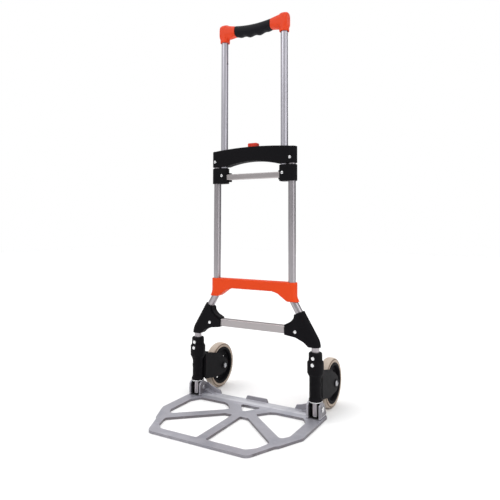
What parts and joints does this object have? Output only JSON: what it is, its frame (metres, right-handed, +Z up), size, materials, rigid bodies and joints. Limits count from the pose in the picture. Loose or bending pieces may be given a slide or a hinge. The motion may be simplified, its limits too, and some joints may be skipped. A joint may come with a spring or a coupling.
{
  "type": "hand truck",
  "caption": "Folding hand truck with a telescopic handle, a fold-up cast toe plate and wheels that swing in between the legs.",
  "frame": {"origin": "the ground point on the centre line, straight below the plane of the legs, on the underside of the toe plate", "axes": "+Z up, +X across to the right as seen from behind the toe plate's front edge looking back, the toe plate points to -Y and the wheels are on +Y"},
  "size_m": [0.39, 0.4201, 1.02],
  "materials": {
    "aluminium_tube": "satin anodised",
    "cast_aluminium": "tumbled die casting",
    "orange_plastic": "fine moulded grain",
    "red_plastic": "moulded",
    "black_plastic": "fine moulded grain",
    "grip_rubber": "soft touch",
    "tyre_rubber": "non marking grey",
    "zinc_steel": "zinc plated",
    "nylon": "moulded"
  },
  "bodies": {
    "frame": {"leg_tube_left": "aluminium_tube", "leg_tube_right": "aluminium_tube", "leg_end_cap_left": "zinc_steel", "leg_end_cap_right": "zinc_steel", "lower_bridge": "orange_plastic", "bridge_screws": "zinc_steel", "gusset_front_left": "black_plastic", "gusset_front_right": "black_plastic", "gusset_rear_left": "black_plastic", "gusset_rear_right": "black_plastic", "gusset_screws": "zinc_steel", "lower_cross_tube": "aluminium_tube", "lock_housing_front": "black_plastic", "lock_housing_rear": "black_plastic", "lock_housing_screws": "zinc_steel", "guide_bushes": "nylon", "collar_left": "black_plastic", "collar_right": "black_plastic", "collar_rivets": "zinc_steel", "knuckle_left": "black_plastic", "knuckle_right": "black_plastic", "thrust_washers": "zinc_steel", "button_spring": "zinc_steel"},
    "handle": {"upper_tube_left": "aluminium_tube", "upper_tube_right": "aluminium_tube", "handle_corner_left": "orange_plastic", "handle_corner_right": "orange_plastic", "handle_core": "aluminium_tube", "handle_grip": "grip_rubber", "slider_left": "black_plastic", "slider_right": "black_plastic", "slider_cross_tube": "aluminium_tube", "slider_screws": "zinc_steel"},
    "button": {"release_button": "red_plastic"},
    "lock_pin_l": {"lock_pin_left": "zinc_steel"},
    "lock_pin_r": {"lock_pin_right": "zinc_steel"},
    "toe_plate": {"toe_plate": "cast_aluminium", "pivot_pin_left": "zinc_steel", "pivot_pin_right": "zinc_steel"},
    "fork_left": {"wheel_fork_left": "black_plastic", "swing_bushes_left": "nylon", "axle_bolt_left": "zinc_steel", "axle_nut_left": "zinc_steel"},
    "fork_right": {"wheel_fork_right": "black_plastic", "swing_bushes_right": "nylon", "axle_bolt_right": "zinc_steel", "axle_nut_right": "zinc_steel"},
    "wheel_left": {"tyre_left": "tyre_rubber", "hub_left": "black_plastic", "wheel_bearing_left": "zinc_steel"},
    "wheel_right": {"tyre_right": "tyre_rubber", "hub_right": "black_plastic", "wheel_bearing_right": "zinc_steel"}
  },
  "joints": [
    {"name": "handle_slide", "type": "slide", "parent": "frame", "child": "handle", "axis": [0, 0, 1], "range_m": [-0.25, 0]},
    {"name": "button_press", "type": "slide", "parent": "frame", "child": "button", "axis": [0, 0, 1], "range_m": [-0.005, 0], "stiffness_N_per_m": 600, "springref_m": 0.002, "deforming": ["button_spring"]},
    {"name": "lock_pin_left_slide", "type": "slide", "parent": "frame", "child": "lock_pin_l", "axis": [1, 0, 0], "range_m": [0, 0.005]},
    {"name": "lock_pin_right_slide", "type": "slide", "parent": "frame", "child": "lock_pin_r", "axis": [-1, 0, 0], "range_m": [0, 0.005]},
    {"name": "plate_fold", "type": "hinge", "parent": "frame", "child": "toe_plate", "pos_m": [0, 0, 0.028], "axis": [1, 0, 0], "range_deg": [-90, 0]},
    {"name": "wheel_swing_left", "type": "hinge", "parent": "frame", "child": "fork_left", "pos_m": [-0.174, 0, 0], "axis": [0, 0, 1], "range_deg": [-90, 0]},
    {"name": "wheel_swing_right", "type": "hinge", "parent": "frame", "child": "fork_right", "pos_m": [0.174, 0, 0], "axis": [0, 0, 1], "range_deg": [0, 90]},
    {"name": "wheel_spin_left", "type": "hinge", "parent": "fork_left", "child": "wheel_left", "pos_m": [-0.171, 0.102, 0.0625], "axis": [1, 0, 0], "continuous": true},
    {"name": "wheel_spin_right", "type": "hinge", "parent": "fork_right", "child": "wheel_right", "pos_m": [0.171, 0.102, 0.0625], "axis": [1, 0, 0], "continuous": true}
  ],
  "couplings": [
    {"joint": "lock_pin_left_slide", "follows": "button_press", "ratio": -1},
    {"joint": "lock_pin_right_slide", "follows": "button_press", "ratio": -1},
    {"joint": "wheel_swing_left", "follows": "plate_fold", "ratio": 1},
    {"joint": "wheel_swing_right", "follows": "plate_fold", "ratio": -1}
  ]
}
